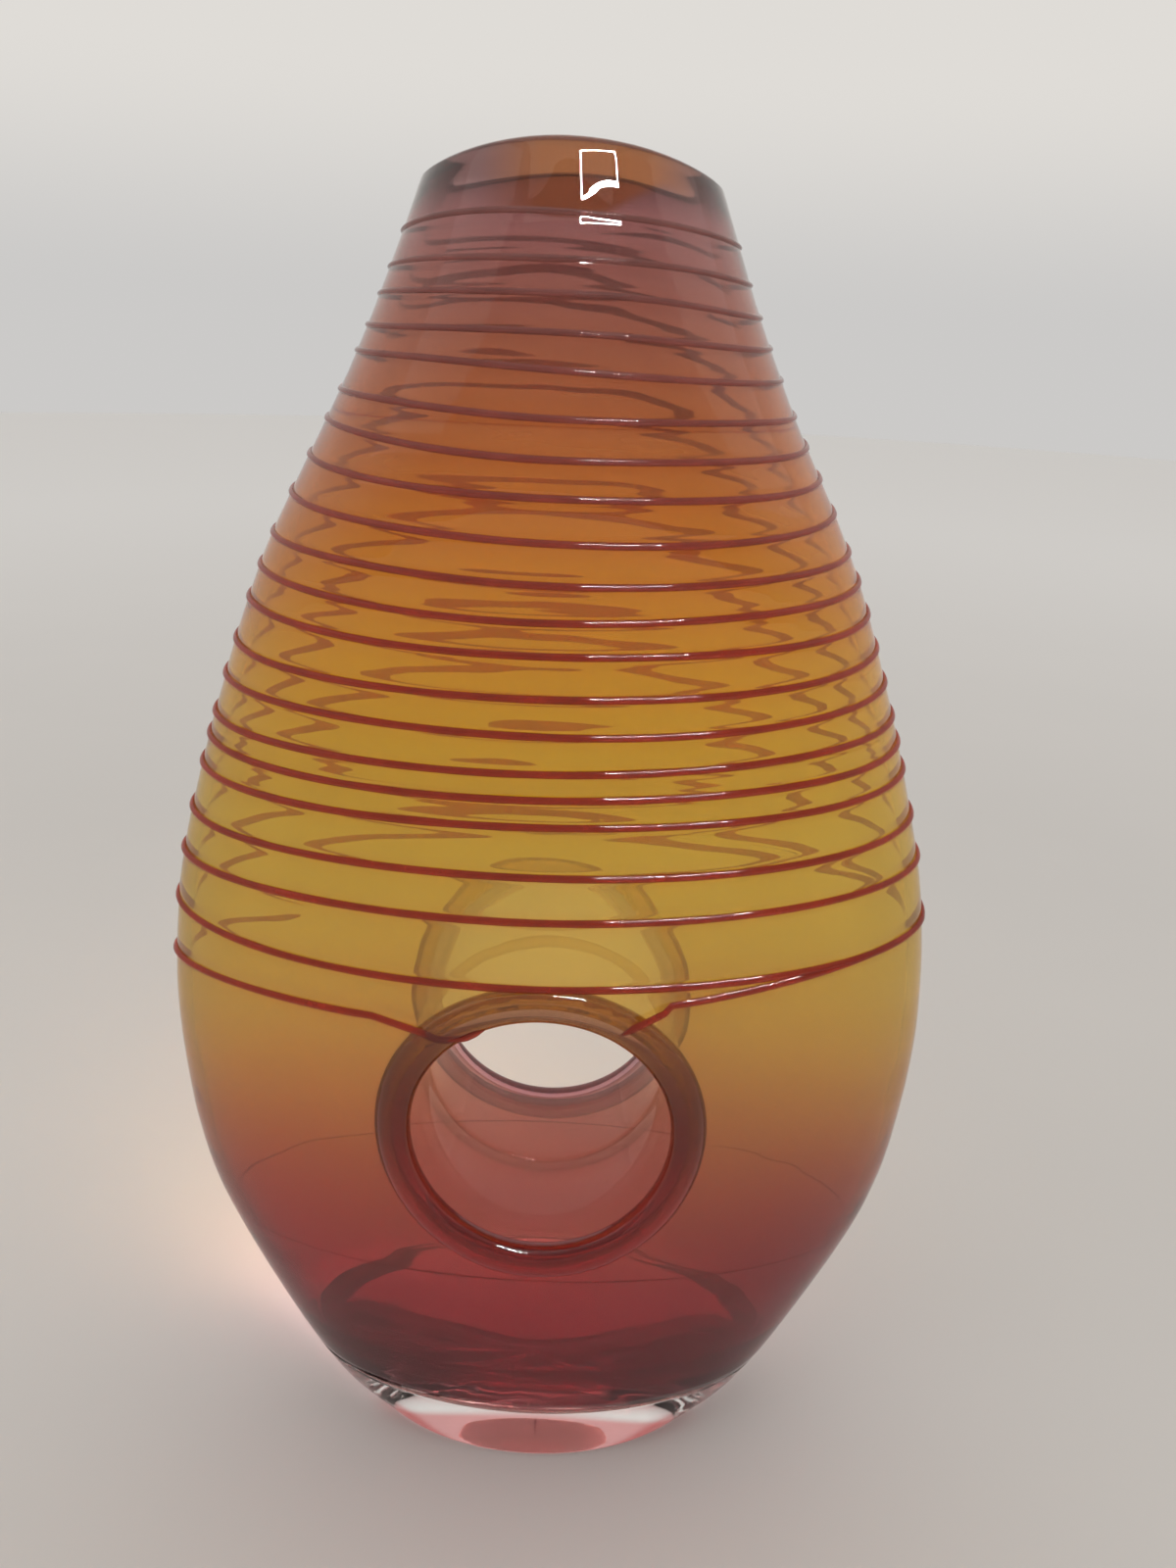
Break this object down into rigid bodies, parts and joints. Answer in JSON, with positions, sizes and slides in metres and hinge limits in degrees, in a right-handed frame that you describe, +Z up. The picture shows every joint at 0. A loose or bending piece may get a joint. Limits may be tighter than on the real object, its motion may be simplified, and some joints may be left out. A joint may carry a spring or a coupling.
{
  "type": "art glass vase",
  "caption": "Flattened egg-shaped blown glass vase with a round hole through its belly, a cased colour lining and a wound glass thread.",
  "frame": {"origin": "centre of the flat foot, on the surface that the vase stands on", "axes": "+Z up, +X along the wide way of the body, -Y out of the front face through the hole"},
  "size_m": [0.2386, 0.1228, 0.3999],
  "materials": {
    "clear_glass": "fire polished clear glass",
    "ruby_glass": "transparent ruby glass, fading upwards into amber",
    "amber_glass": "transparent amber glass",
    "purple_glass": "transparent ruby-purple glass",
    "tunnel_glass": "transparent pinkish brown glass",
    "lip_glass": "thick fire polished ruby glass",
    "thread_glass": "glossy dark red trailed glass"
  },
  "bodies": {
    "root": {"base_pad": "clear_glass", "clear_casing": "clear_glass", "foot_lining": "ruby_glass", "body_lining": "amber_glass", "neck_lining": "purple_glass", "tunnel_front_wall": "tunnel_glass", "tunnel_back_wall": "tunnel_glass", "front_hole_lip": "lip_glass", "back_hole_lip": "lip_glass", "thread_start": "thread_glass", "thread_trail": "thread_glass"}
  },
  "joints": []
}
